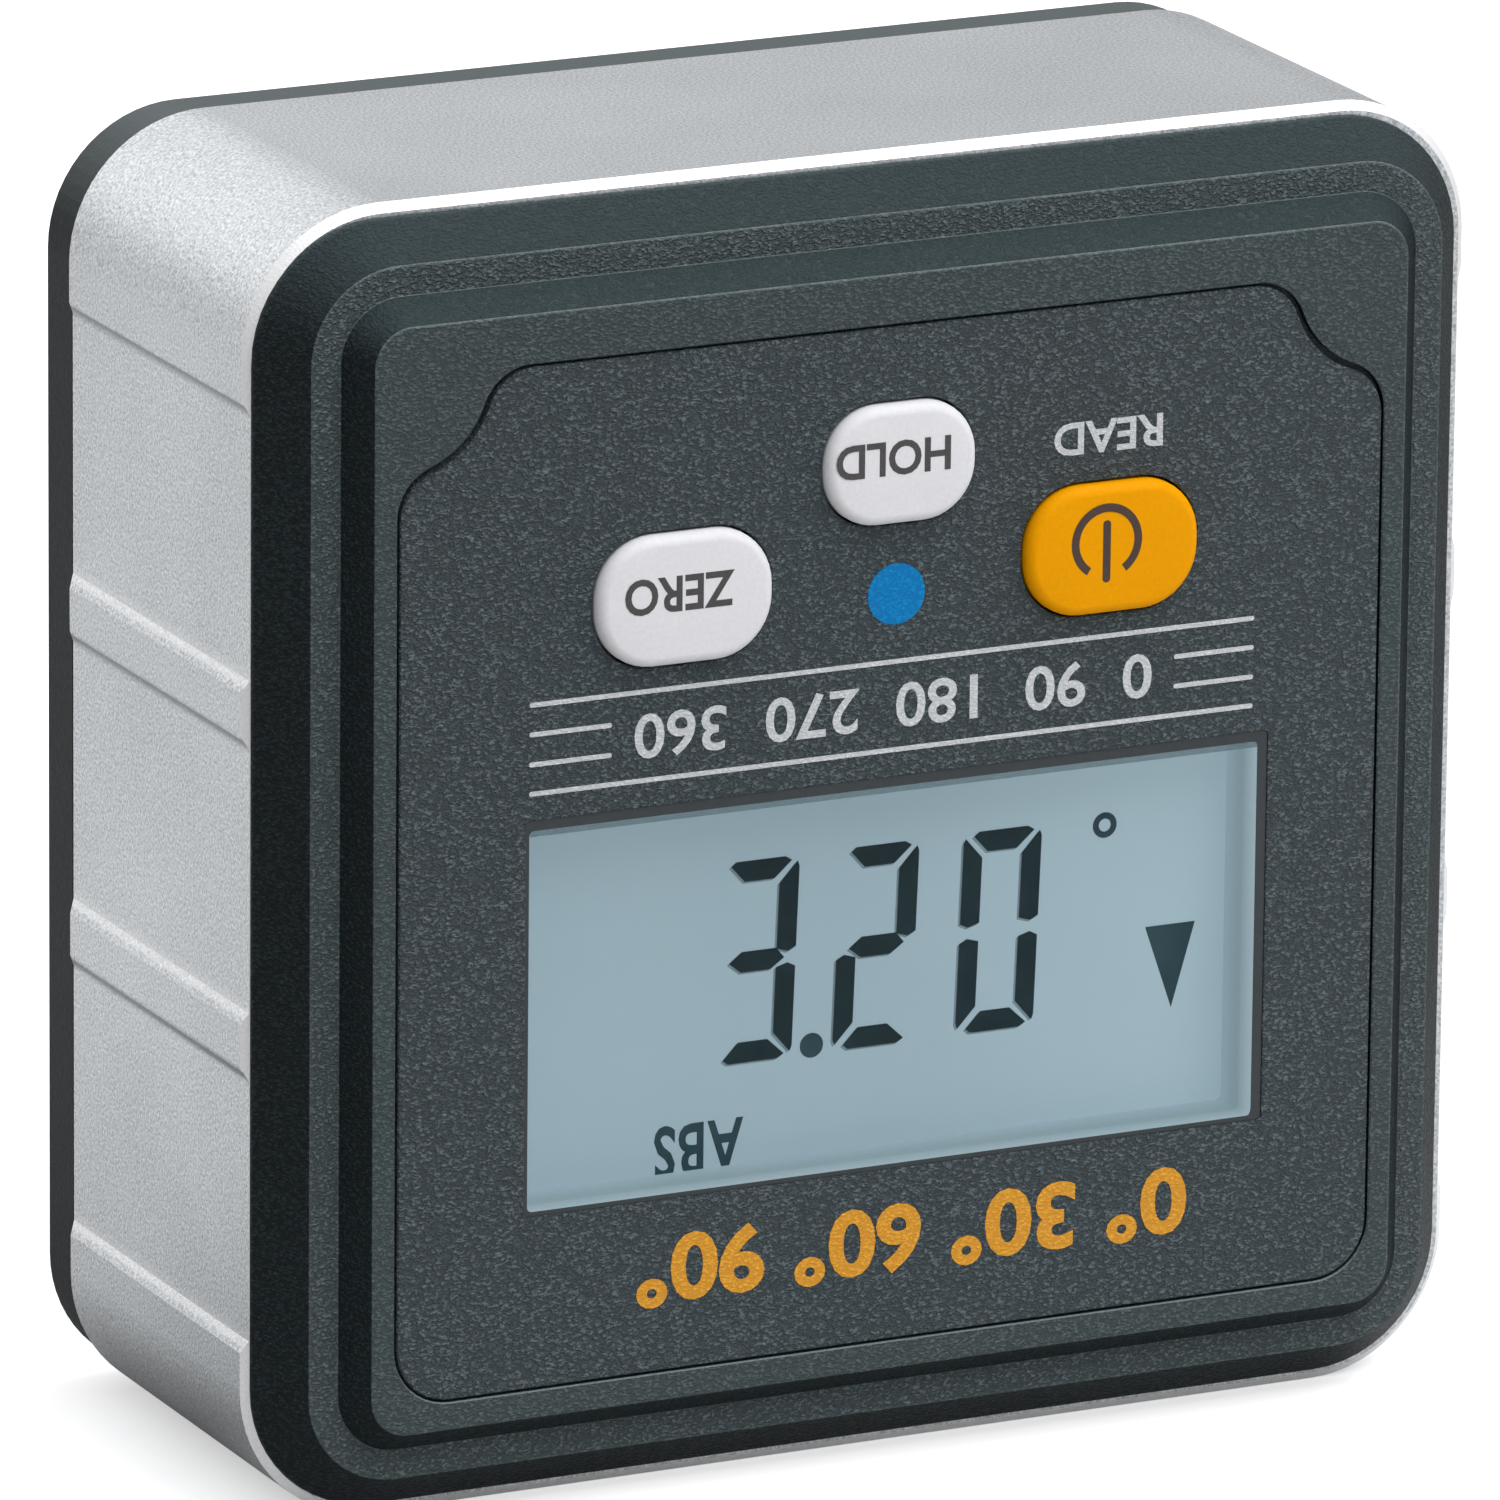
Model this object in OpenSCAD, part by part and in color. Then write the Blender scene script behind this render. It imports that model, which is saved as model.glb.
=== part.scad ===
// Digital angle gauge: a square aluminium frame closed by two plastic covers.
// X is to the right, Y runs from the display to the battery side, Z is up.
// Depths are counted from the frame's front edge: negative is towards the viewer.

/* [Frame] */
// Width and height of the square frame
body_size = 60; // [58:1:80]
// Radius of the frame's outer corners
corner_r = 6.5; // [5.5:0.1:8]
// Length of the extrusion from front edge to rear edge
frame_depth = 19.6; // [18:0.2:28]
// Wall of the extrusion
frame_wall = 3; // [2.6:0.1:4]
// Bright chamfer on the front and rear edges
edge_chamfer = 0.4; // [0.2:0.05:0.6]
// Depth of the panels sunk in both sides
panel_depth = 0.3; // [0.1:0.05:0.6]
// Height of one sunk panel
panel_h = 12.6; // [8:0.1:14]
// Height of the rib between two panels
rib_h = 2.55; // [1.5:0.05:4]

/* [Front cover] */
// Rise of the display face above the frame's front edge
face_rise = 3.4; // [3.2:0.1:5]
// Rise of the ledge between the two bevels
ledge_rise = 2.05; // [1.5:0.05:2.4]
// Rise of the thin lip at the foot of the outer bevel
lip_rise = 0.15; // [0.1:0.05:0.4]
// Step from the frame's side to the lip
lip_inset = 0.58; // [0.4:0.02:0.6]
// Step from the frame's side to the foot of the outer bevel
outer_bevel_foot = 0.75; // [0.65:0.05:1.2]
// Step from the frame's side to the head of the outer bevel
outer_bevel_head = 2.3; // [1.8:0.1:2.8]
// Step from the frame's side to the foot of the inner bevel
inner_bevel_foot = 3.64; // [3.2:0.02:4]
// Step from the frame's side to the head of the inner bevel
inner_bevel_head = 4.73; // [4.3:0.01:5]
// Wall of the front cover behind the display face
face_wall = 2.6; // [1.8:0.1:2.8]
// Wall of the ring that locates a cover inside the frame
spigot_wall = 1.4; // [1:0.1:2]
// Length of the ring that locates a cover inside the frame
spigot_len = 2.5; // [1:0.1:2.8]

/* [Overlay] */
// Thickness of the printed overlay
overlay_t = 0.5; // [0.3:0.05:0.7]
// Distance from the frame's side to the overlay
overlay_side = 6; // [5.6:0.1:7]
// Distance from the frame's lower face to the overlay
overlay_low = 6.2; // [5.8:0.1:7]
// Distance from the frame's upper face to the overlay
overlay_high = 7.2; // [5.8:0.1:8]
// Open groove around the overlay
overlay_gap = 0.22; // [0.1:0.02:0.4]
// Radius of the overlay's plain lower corners
overlay_r = 2.5; // [1.5:0.1:4]
// Radius of the hollow bitten out of each upper corner
notch_r = 4.3; // [3:0.1:5]
// Radius that leads into and out of that hollow
notch_blend_r = 2.2; // [1.2:0.1:2.6]

/* [Display] */
// Width of the display opening
window_w = 36; // [30:0.5:38]
// Height of the display opening
window_h = 17.6; // [14:0.2:19]
// Drop of the display's middle below the middle of the body
window_drop = 6.9; // [6.5:0.1:8]
// Seat that carries the display lens on each side
lens_seat = 0.2; // [0.2:0.05:0.7]
// Thickness of the display lens
lens_t = 0.8; // [0.6:0.1:1.3]
// How far the lens lies below the overlay
lens_sink = 0.1; // [0.05:0.05:0.3]
// Thickness of the liquid crystal cell
cell_t = 1.6; // [1.2:0.1:2]
// Rim of the liquid crystal cell beyond the opening
cell_rim = 2.2; // [1.8:0.1:2.6]
// Thickness of the light guide behind the cell
guide_t = 1.5; // [0.8:0.1:2]

/* [Keys] */
// Width of the two lower keys
key_w = 8.7; // [7:0.1:9]
// Height of the two lower keys
key_h = 6.4; // [5:0.1:6.8]
// Width of the upper key
hold_w = 7.5; // [6:0.1:8]
// Height of the upper key
hold_h = 5.9; // [5:0.1:6.4]
// Corner radius of the lower keys
key_r = 2.9; // [2.2:0.1:3.1]
// Corner radius of the upper key
hold_r = 2.7; // [2.2:0.1:2.8]
// Sideways distance of the lower keys from the middle
key_reach = 10.5; // [10.4:0.1:12]
// Height of the lower keys above the middle of the body
key_lift = 11.8; // [11.4:0.1:12.4]
// Height of the upper key above the middle of the body
hold_lift = 16.8; // [16.4:0.1:17.4]
// How far a key stands proud of the overlay
key_proud = 0.6; // [0.5:0.1:1]
// Travel of a key
key_travel = 0.4; // [0.2:0.05:0.5]
// Open gap around a key
key_gap = 0.2; // [0.15:0.05:0.3]

/* [Rear cover] */
// Height of the rear cover's straight side wall
rim_h = 2.7; // [1.8:0.05:3]
// Rise of the rear face above the frame's rear edge
rear_rise = 4; // [3.8:0.1:5.5]
// Step from the frame's side to the rear cover
rear_inset = 0.3; // [0:0.01:0.5]
// Inward run of the bevel around the rear face
rear_bevel = 1.2; // [0.6:0.1:1.6]
// Thickness of the battery door
door_t = 1.6; // [1.4:0.1:2]
// Height of the battery door
door_h = 24.8; // [24.4:0.1:28]
// Running gap between door and rear cover
door_gap = 0.3; // [0.2:0.05:0.4]

/* [Batteries] */
// Diameter of a battery
battery_d = 10.5; // [10:0.1:10.5]
// Length of a battery with its nub
battery_len = 44.5; // [42:0.1:44.5]
// Wall of the battery bay
bay_wall = 1.2; // [1:0.1:1.6]

/* [Electronics] */
// Depth of the circuit board's front side
board_depth = 3; // [2.9:0.1:3.4]
// Thickness of the circuit board
board_t = 1.2; // [0.8:0.1:1.6]
// Side of a push switch
switch_size = 6; // [4.5:0.5:6]

/* [Fasteners] */
// Thread diameter of the four long case screws
case_screw_d = 2.5; // [2:0.1:2.6]
// Thread diameter of the four board screws
board_screw_d = 1.5; // [1.2:0.1:1.6]

/* [Hidden] */
$fn = 64;

// Overcut that keeps boolean faces apart
cut = 1;
// Middle of the body in height
mid_z = body_size / 2;
// Whole depth from key tops to rear face, centred on the origin
total_depth = key_proud + face_rise + frame_depth + rear_rise;
front_y = key_proud + face_rise - total_depth / 2;

// Loose fit between parts that are assembled once
fit_gap = 0.15;
// Screw channels in the corners of the extrusion
channel_wall = 1.75;
channel_lap = 0.4;
screw_clear = 0.4;
thread_gap = 0.1;
tip_room = 0.2;
inner_size = body_size - 2 * frame_wall;
inner_r = corner_r - frame_wall;
channel_d = case_screw_d + screw_clear;
boss_r = channel_d / 2 + channel_wall;
channel_at = inner_size / 2 - boss_r + channel_lap;
corners = [for (x = [-1, 1], z = [-1, 1]) [x * channel_at, z * channel_at]];

// Locating rings of both covers
spigot_size = inner_size - 2 * fit_gap;
spigot_r = inner_r - fit_gap;
spigot_hole = spigot_size - 2 * spigot_wall;
spigot_hole_r = spigot_r - spigot_wall;

// Seal rings between the frame and the covers
seal_w = 0.8;
seal_t = 0.6;
seal_inset = 1.9;

// Sunk panels of the frame's sides
panel_pitch = panel_h + rib_h;
panel_slope = 0.6;

// Depths of the front stack, from the face to the board
face_at = -face_rise;
pocket_at = face_at + overlay_t;
wall_back = face_at + face_wall;
lens_front = face_at + lens_sink;
lens_back = lens_front + lens_t;
cell_back = wall_back + cell_t;
guide_back = cell_back + guide_t;
board_back = board_depth + board_t;

// Plan sizes of the front stack
overlay_w = body_size - 2 * overlay_side;
overlay_top = mid_z - overlay_high;
overlay_bottom = overlay_low - mid_z;
lens_gap = 0.1;
lens_w = window_w + 2 * lens_seat;
lens_h = window_h + 2 * lens_seat;
cell_w = window_w + 2 * cell_rim;
cell_h = window_h + 2 * cell_rim;
strip_h = 1.6;
strip_at = cell_h / 2 - strip_h / 2;
guide_lap = 1;
guide_w = window_w + 2 * guide_lap;
guide_h = cell_h - 2 * strip_h - 2 * fit_gap;
cavity_wall = 0.9;
cavity_size = body_size - 2 * inner_bevel_head - 2 * cavity_wall;
cavity_r = 2;

// Keys, their guards and the switches behind them
zero_at = [-key_reach, key_lift];
hold_at = [0, hold_lift];
power_at = [key_reach, key_lift];
key_places = [zero_at, hold_at, power_at];
key_round = 0.3;
key_top = face_at - key_proud;
flange_lap = 0.8;
flange_t = 0.8;
flange_front = wall_back + key_gap;
flange_back = flange_front + flange_t;
stem_d = 3;
stem_len = 0.8;
stem_back = flange_back + stem_len;
switch_room = 0.3;
plunger_back = board_depth - key_travel - switch_room;
switch_front = stem_back + key_travel + switch_room;
switch_hole_d = stem_d + 2 * key_gap;

// Circuit board and its fixings
board_edge_gap = 1.4;
board_size = spigot_hole - 2 * board_edge_gap;
standoff_wall = 1;
standoff_gap = 0.3;
standoff_side = 4;
standoff_r = board_screw_d / 2 + standoff_wall;
standoff_x = cell_w / 2 - standoff_side;
standoff_z = window_drop + cell_h / 2 + standoff_gap + standoff_r;
standoffs = [for (x = [-1, 1], z = [-1, 1]) [x * standoff_x, z * standoff_z]];
board_head_d = 2 * board_screw_d;
board_head_t = 0.9;
board_screw_len = 3;
board_screw_tip = board_depth - board_screw_len;

// Components on the rear of the circuit board
controller_side = 10;
controller_t = 1.2;
controller_size = [controller_side, controller_side];
controller_at = [-0.8 * controller_side, 0.4 * controller_side];
sensor_side = 5;
sensor_t = 1;
sensor_size = [sensor_side, sensor_side];
sensor_at = [1.2 * sensor_side, -1.2 * sensor_side];
radio_w = 14;
radio_h = 10;
radio_t = 2;
radio_size = [radio_w, radio_h];
radio_at = [1.2 * radio_h, 1.2 * radio_h];

// Rear cover, from the frame's rear edge to the rear face
rear_face = frame_depth + rear_rise;
rear_size = body_size - 2 * rear_inset;
rear_r = corner_r - rear_inset;
bevel_rise = rear_rise - rim_h;
door_sink = 0.1;
door_back = rear_face - door_sink;
door_front = door_back - door_t;
door_floor = door_front - door_gap;
floor_wall = 1.2;
plate_front = door_floor - floor_wall;
tongue_w = 1;
tongue_t = 0.6;
groove_back = door_front + tongue_t + door_gap;
door_margin = 5;
door_end = door_margin - mid_z;
grip_margin = 12;
grip_pitch = 1.8;
grip_w = 0.8;
grip_depth = 0.4;

// Battery bay
contact_t = 0.4;
spring_len = 1.9;
bay_len = battery_len + spring_len + 2 * contact_t;
battery_gap = 0.4;
battery_room = 0.25;
bay_slack = 0.5;
battery_pitch = battery_d + battery_gap;
bay_h = battery_pitch + battery_d + 2 * bay_slack;
bay_end_wall = min(bay_wall, (spigot_size - bay_len) / 2);
battery_depth = door_floor - battery_room - battery_d / 2;
bay_floor = battery_depth - battery_d / 2 - battery_room;
nub_d = 3.8;
nub_len = 0.8;
tail_w = 2;
contact_h = 8;
contact_short = 0.5;
contact_rise = battery_d / 2 - contact_short;
link_h = 2;
spring_turns = 3;
spring_base_r = 3.4;
spring_taper = 0.3;
spring_wire = (spring_len + contact_t / 2) / spring_turns;

// Magnets let into the inner side of the upper wall
magnet_w = 10;
magnet_d = 8;
magnet_t = 2.5;
magnet_skin = 1.5;
magnet_pitch = 14;

// Long case screws
case_head_d = 1.76 * case_screw_d;
case_head_t = 1.6;
head_well = 2;
head_gap = 0.3;
head_seat = rear_face - head_well;
screw_skin = 1.5;
screw_tip = face_at + screw_skin;

// Colours
aluminium = [0.76, 0.78, 0.79];
dark_plastic = [0.23, 0.26, 0.27];
overlay_grey = [0.26, 0.28, 0.30];
pale_glass = [0.61, 0.70, 0.74];
key_white = [0.87, 0.87, 0.89];
key_orange = [0.98, 0.66, 0];
board_green = [0.10, 0.32, 0.20];
chip_black = [0.08, 0.08, 0.09];
steel = [0.70, 0.71, 0.72];
seal_black = [0.05, 0.05, 0.05];
milky = [0.92, 0.93, 0.92];

// A flat outline with round corners, about the origin
module round_rect(w, h, r) {
    square([w - 2 * r, h], center = true);
    square([w, h - 2 * r], center = true);
    for (x = [-1, 1], y = [-1, 1])
        translate([x * (w / 2 - r), y * (h / 2 - r)])
            circle(r);
}

// A flat ring that follows the frame's rounded square
module seal_outline() {
    outer = body_size - 2 * seal_inset;
    inner = outer - 2 * seal_w;
    difference() {
        round_rect(outer, outer, corner_r - seal_inset);
        round_rect(inner, inner, corner_r - seal_inset - seal_w);
    }
}

// Extrudes a flat outline about the body's middle between two depths
module slab(from, to) {
    translate([0, front_y + to, mid_z])
        rotate([90, 0, 0])
            linear_extrude(to - from)
                children();
}

// A round pin or hole along the depth at a place in the face
module pin(at, d, from, to) {
    translate([at[0], front_y + from, mid_z + at[1]])
        rotate([-90, 0, 0])
            cylinder(h = to - from, d = d);
}

// A rounded block whose four sides lean inward by the same step, standing on its foot
module leaning_block(w, h, r, step, rise) {
    for (x = [-1, 1], y = [-1, 1])
        translate([x * (w / 2 - r), y * (h / 2 - r), 0])
            cylinder(h = rise, r1 = r, r2 = r - step);
    rotate([90, 0, 0])
        linear_extrude(h - 2 * r, center = true)
            leaning_profile(w, step, rise);
    rotate([90, 0, 90])
        linear_extrude(w - 2 * r, center = true)
            leaning_profile(h, step, rise);
}

module leaning_profile(w, step, rise) {
    polygon([[-w / 2, 0], [w / 2, 0], [w / 2 - step, rise], [step - w / 2, rise]]);
}

// The leaning block facing the viewer, its foot at a given depth
module lean_forward(at, from, w, h, r, step, rise) {
    translate([at[0], front_y + from, mid_z + at[1]])
        rotate([90, 0, 0])
            leaning_block(w, h, r, step, rise);
}

// The leaning block facing the rear, its foot at a given depth
module lean_back(from, size, r, step, rise) {
    translate([0, front_y + from, mid_z])
        rotate([-90, 0, 0])
            leaning_block(size, size, r, step, rise);
}

module channel_circles(r) {
    for (at = corners)
        translate(at)
            circle(r);
}

// Inside of the extrusion, with its four screw channels left standing
module frame_bore() {
    difference() {
        round_rect(inner_size, inner_size, inner_r);
        channel_circles(boss_r);
    }
}

module sunk_panels() {
    floor_half = panel_h / 2 - panel_slope / 2;
    mouth_half = floor_half + 2 * panel_slope;
    for (side = [-1, 1], row = [-1, 0, 1])
        translate([side * mid_z, row * panel_pitch])
            polygon([[-side * panel_depth, -floor_half], [-side * panel_depth, floor_half],
                [side * panel_depth, mouth_half], [side * panel_depth, -mouth_half]]);
}

module magnet_blocks(gap) {
    top = mid_z - magnet_skin;
    for (place = [-1, 0, 1])
        translate([place * magnet_pitch, front_y + frame_depth / 2, mid_z + top - magnet_t / 2 - gap])
            cube([magnet_w + 2 * gap, magnet_d + 2 * gap, magnet_t + 2 * gap], center = true);
}

// Outside of the extrusion: a rounded square bar cut off by a chamfer at both ends
module frame_bar() {
    reach = frame_depth + cut;
    spread = reach - edge_chamfer;
    wide = body_size + 2 * spread;
    intersection() {
        slab(-cut, reach)
            round_rect(body_size, body_size, corner_r);
        lean_forward([0, 0], reach, wide, wide, corner_r + spread, reach, reach);
        lean_back(-cut, wide, corner_r + spread, reach, reach);
    }
}

module frame() {
    color(aluminium)
    difference() {
        frame_bar();
        slab(-cut, frame_depth + cut)
            frame_bore();
        slab(-cut, frame_depth + cut)
            channel_circles(channel_d / 2);
        slab(-cut, frame_depth + cut)
            sunk_panels();
        magnet_blocks(fit_gap);
    }
}

module magnets() {
    color(steel)
        magnet_blocks(0);
}

// Overlay outline: plain lower corners and a rounded hollow in each upper corner
module overlay_outline(grow) {
    half = overlay_w / 2 + grow;
    top = overlay_top + grow;
    bottom = overlay_bottom - grow;
    low_r = overlay_r + grow;
    blend = notch_blend_r + grow;
    hollow = notch_r - grow;
    reach = sqrt(pow(hollow + blend, 2) - blend * blend);
    body_top = top - reach;
    translate([0, (bottom + low_r + body_top) / 2])
        square([2 * half, body_top - bottom - low_r], center = true);
    translate([0, (bottom + body_top) / 2])
        square([2 * (half - low_r), body_top - bottom], center = true);
    translate([0, (bottom + top) / 2])
        square([2 * (half - reach), top - bottom], center = true);
    for (side = [-1, 1]) {
        translate([side * (half - low_r), bottom + low_r])
            circle(low_r);
        translate([side * half, top])
            mirror([side > 0 ? 1 : 0, 0])
                notch_shoulder(reach, blend, hollow);
    }
}

// Fills between the two blends of a hollow corner, seen from that corner
module notch_shoulder(reach, blend, hollow) {
    share = blend / (hollow + blend);
    upper = [reach, -blend];
    lower = [blend, -reach];
    translate(upper)
        circle(blend);
    translate(lower)
        circle(blend);
    difference() {
        polygon([[reach, -reach], upper, upper * (1 - share), lower * (1 - share), lower]);
        circle(hollow);
    }
}

module window_outline(w, h, r) {
    translate([0, -window_drop])
        round_rect(w, h, r);
}

module key_outline(i, grow) {
    w = i == 1 ? hold_w : key_w;
    h = i == 1 ? hold_h : key_h;
    r = i == 1 ? hold_r : key_r;
    translate(key_places[i])
        round_rect(w + 2 * grow, h + 2 * grow, r + grow);
}

module key_openings() {
    for (i = [0:2])
        key_outline(i, key_gap);
}

// Inside of a cover, with solid corners for the case screws
module cover_cavity(size, r) {
    difference() {
        round_rect(size, size, r);
        channel_circles(boss_r);
    }
}

// Locating ring that slides into the extrusion past its screw channels
module spigot_ring() {
    difference() {
        round_rect(spigot_size, spigot_size, spigot_r);
        round_rect(spigot_hole, spigot_hole, spigot_hole_r);
        channel_circles(boss_r + fit_gap);
    }
}

module front_shell() {
    lip_size = body_size - 2 * lip_inset;
    outer_size = body_size - 2 * outer_bevel_foot;
    outer_step = outer_bevel_head - outer_bevel_foot;
    top_size = body_size - 2 * inner_bevel_foot;
    inner_step = inner_bevel_head - inner_bevel_foot;
    outer_rise = ledge_rise - lip_rise;
    inner_rise = face_rise - ledge_rise;
    slab(-lip_rise, 0)
        round_rect(lip_size, lip_size, corner_r - lip_inset);
    lean_forward([0, 0], -lip_rise, outer_size, outer_size, corner_r - outer_bevel_foot,
        outer_step, outer_rise);
    lean_forward([0, 0], -ledge_rise, top_size, top_size, corner_r - inner_bevel_foot,
        inner_step, inner_rise);
}

module front_cover() {
    color(dark_plastic)
    difference() {
        union() {
            difference() {
                front_shell();
                slab(wall_back, cut)
                    cover_cavity(cavity_size, cavity_r);
                slab(-seal_t, cut)
                    seal_outline();
            }
            slab(0, spigot_len)
                spigot_ring();
            for (at = standoffs)
                pin(at, 2 * standoff_r, wall_back, board_depth);
        }
        slab(face_at - cut, pocket_at)
            overlay_outline(overlay_gap);
        slab(face_at - cut, lens_back)
            window_outline(lens_w + 2 * lens_gap, lens_h + 2 * lens_gap, lens_seat);
        slab(face_at - cut, wall_back + cut)
            window_outline(window_w, window_h, lens_seat);
        slab(face_at - cut, wall_back + cut)
            key_openings();
        for (at = corners)
            pin(at, case_screw_d + thread_gap, screw_tip - tip_room, cut);
        for (at = standoffs)
            pin(at, board_screw_d + thread_gap, board_screw_tip - tip_room, board_depth + cut);
    }
}

module overlay() {
    color(overlay_grey)
    slab(face_at, pocket_at)
        difference() {
            overlay_outline(0);
            window_outline(lens_w + 2 * lens_gap, lens_h + 2 * lens_gap, lens_seat);
            key_openings();
        }
}

module lcd_window() {
    color(pale_glass)
    slab(lens_front, lens_back)
        window_outline(lens_w, lens_h, lens_seat);
}

module lcd_glass() {
    color(pale_glass)
    slab(wall_back, cell_back)
        translate([0, -window_drop])
            square([cell_w, cell_h], center = true);
}

module light_guide() {
    color(milky)
    slab(cell_back, guide_back)
        translate([0, -window_drop])
            square([guide_w, guide_h], center = true);
}

module zebra_strips() {
    color(seal_black)
    slab(cell_back, board_depth)
        for (side = [-1, 1])
            translate([0, side * strip_at - window_drop])
                square([guide_w, strip_h], center = true);
}

// A key: crowned cap, retaining flange and the stem that meets its switch
module key(i) {
    w = i == 1 ? hold_w : key_w;
    h = i == 1 ? hold_h : key_h;
    r = i == 1 ? hold_r : key_r;
    foot = key_top + key_round;
    half = key_round / 2;
    slope = key_round / 4;
    slab(foot, flange_front)
        key_outline(i, 0);
    lean_forward(key_places[i], foot, w, h, r, slope, half);
    lean_forward(key_places[i], foot - half, w - 2 * slope, h - 2 * slope, r - slope, half, half);
    slab(flange_front, flange_back)
        key_outline(i, flange_lap);
    pin(key_places[i], stem_d, flange_back, stem_back);
}

module key_zero() {
    color(key_white)
        key(0);
}

module key_hold() {
    color(key_white)
        key(1);
}

module key_power() {
    color(key_orange)
        key(2);
}

module plunger_zero() {
    color(chip_black)
        pin(zero_at, stem_d, stem_back, plunger_back);
}

module plunger_hold() {
    color(chip_black)
        pin(hold_at, stem_d, stem_back, plunger_back);
}

module plunger_power() {
    color(chip_black)
        pin(power_at, stem_d, stem_back, plunger_back);
}

module switch_bodies() {
    color(steel)
    slab(switch_front, board_depth)
        for (at = key_places)
            translate(at)
                difference() {
                    square(switch_size, center = true);
                    circle(d = switch_hole_d);
                }
}

module pcb() {
    color(board_green)
    slab(board_depth, board_back)
        difference() {
            square(board_size, center = true);
            channel_circles(boss_r + screw_clear);
            for (at = standoffs)
                translate(at)
                    circle(d = board_screw_d + screw_clear);
        }
}

module pcb_screws() {
    color(steel)
    for (at = standoffs) {
        pin(at, board_head_d, board_back, board_back + board_head_t);
        pin(at, board_screw_d, board_screw_tip, board_back);
    }
}

// A flat component on the rear of the board
module chip(at, size, thickness) {
    slab(board_back, board_back + thickness)
        translate(at)
            square(size, center = true);
}

module microcontroller() {
    color(chip_black)
        chip(controller_at, controller_size, controller_t);
}

module tilt_sensor() {
    color(chip_black)
        chip(sensor_at, sensor_size, sensor_t);
}

module radio_module() {
    color(steel)
        chip(radio_at, radio_size, radio_t);
}

// Long screw with a cross recess in its head
module case_screws() {
    slot_w = case_screw_d / 5;
    slot_len = case_head_d * 0.6;
    slot_depth = case_head_t / 2;
    head_top = head_seat + case_head_t;
    color(steel)
    for (at = corners)
        difference() {
            union() {
                pin(at, case_head_d, head_seat, head_top);
                pin(at, case_screw_d, screw_tip, head_seat);
            }
            slab(head_top - slot_depth, head_top + cut)
                translate(at) {
                    square([slot_len, slot_w], center = true);
                    square([slot_w, slot_len], center = true);
                }
        }
}

module front_seal() {
    color(seal_black)
    slab(-seal_t, 0)
        seal_outline();
}

module rear_seal() {
    color(seal_black)
    slab(frame_depth, frame_depth + seal_t)
        seal_outline();
}

module rear_shell() {
    slab(frame_depth, frame_depth + rim_h)
        round_rect(rear_size, rear_size, rear_r);
    lean_back(frame_depth + rim_h, rear_size, rear_r, rear_bevel, bevel_rise);
}

module bay_outline(end_wall, side_wall) {
    square([bay_len + 2 * end_wall, bay_h + 2 * side_wall], center = true);
}

// Outline of the sliding door, open towards the right side of the body
module door_outline(half, end) {
    translate([(mid_z + cut + end) / 2, 0])
        square([mid_z + cut - end, 2 * half], center = true);
}

// Slots in the bay floor for the tails of the battery contacts
module tail_slots() {
    for (side = [-1, 1], row = [-1, 1])
        translate([side * (bay_len - contact_t) / 2, row * battery_pitch / 2])
            square([contact_t + 2 * fit_gap, tail_w + 2 * fit_gap], center = true);
}

module rear_cover() {
    color(dark_plastic)
    difference() {
        union() {
            difference() {
                rear_shell();
                slab(frame_depth - cut, plate_front)
                    cover_cavity(spigot_hole, spigot_hole_r);
                slab(frame_depth - cut, frame_depth + seal_t)
                    seal_outline();
            }
            slab(frame_depth - spigot_len, frame_depth)
                spigot_ring();
            slab(bay_floor - bay_wall, plate_front)
                bay_outline(bay_end_wall, bay_wall);
        }
        slab(bay_floor, rear_face + cut)
            bay_outline(0, 0);
        slab(bay_floor - bay_wall - cut, bay_floor + cut)
            tail_slots();
        slab(door_floor, rear_face + cut)
            door_outline(door_h / 2 + door_gap, door_end - door_gap);
        slab(door_floor, groove_back)
            door_outline(door_h / 2 + tongue_w + door_gap, door_end - door_gap);
        for (at = corners) {
            pin(at, channel_d, frame_depth - cut, rear_face + cut);
            pin(at, case_head_d + 2 * head_gap, head_seat, rear_face + cut);
        }
    }
}

// Sliding door: plate, two tongues in the rear cover's grooves and a ribbed thumb rest
module battery_door() {
    grip_at = mid_z - grip_margin;
    grip_len = door_h / 2;
    color(dark_plastic)
    difference() {
        intersection() {
            rear_shell();
            union() {
                slab(door_front, door_back)
                    door_outline(door_h / 2, door_end);
                slab(door_front, door_front + tongue_t)
                    door_outline(door_h / 2 + tongue_w, door_end);
            }
        }
        slab(door_back - grip_depth, door_back + cut)
            for (row = [0:3])
                translate([grip_at + row * grip_pitch, 0])
                    square([grip_w, grip_len], center = true);
    }
}

// A battery lying along X, its nub at the side given by way
module battery(row, way) {
    nub_end = way * (bay_len / 2 - contact_t);
    axis_z = mid_z + row * battery_pitch / 2;
    translate([nub_end, front_y + battery_depth, axis_z])
        rotate([0, -way * 90, 0]) {
            cylinder(h = nub_len, d = nub_d);
            translate([0, 0, nub_len])
                cylinder(h = battery_len - nub_len, d = battery_d);
        }
}

module battery_upper() {
    color(chip_black)
        battery(1, -1);
}

module battery_lower() {
    color(chip_black)
        battery(-1, 1);
}

// Contact plate on an end wall of the bay, with its tail to the circuit board
module contact_plate(side, row) {
    plate_at = [side * (bay_len - contact_t) / 2, row * battery_pitch / 2];
    slab(bay_floor, battery_depth + contact_rise)
        translate(plate_at)
            square([contact_t, contact_h], center = true);
    slab(board_back, bay_floor)
        translate(plate_at)
            square([contact_t, tail_w], center = true);
}

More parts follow.
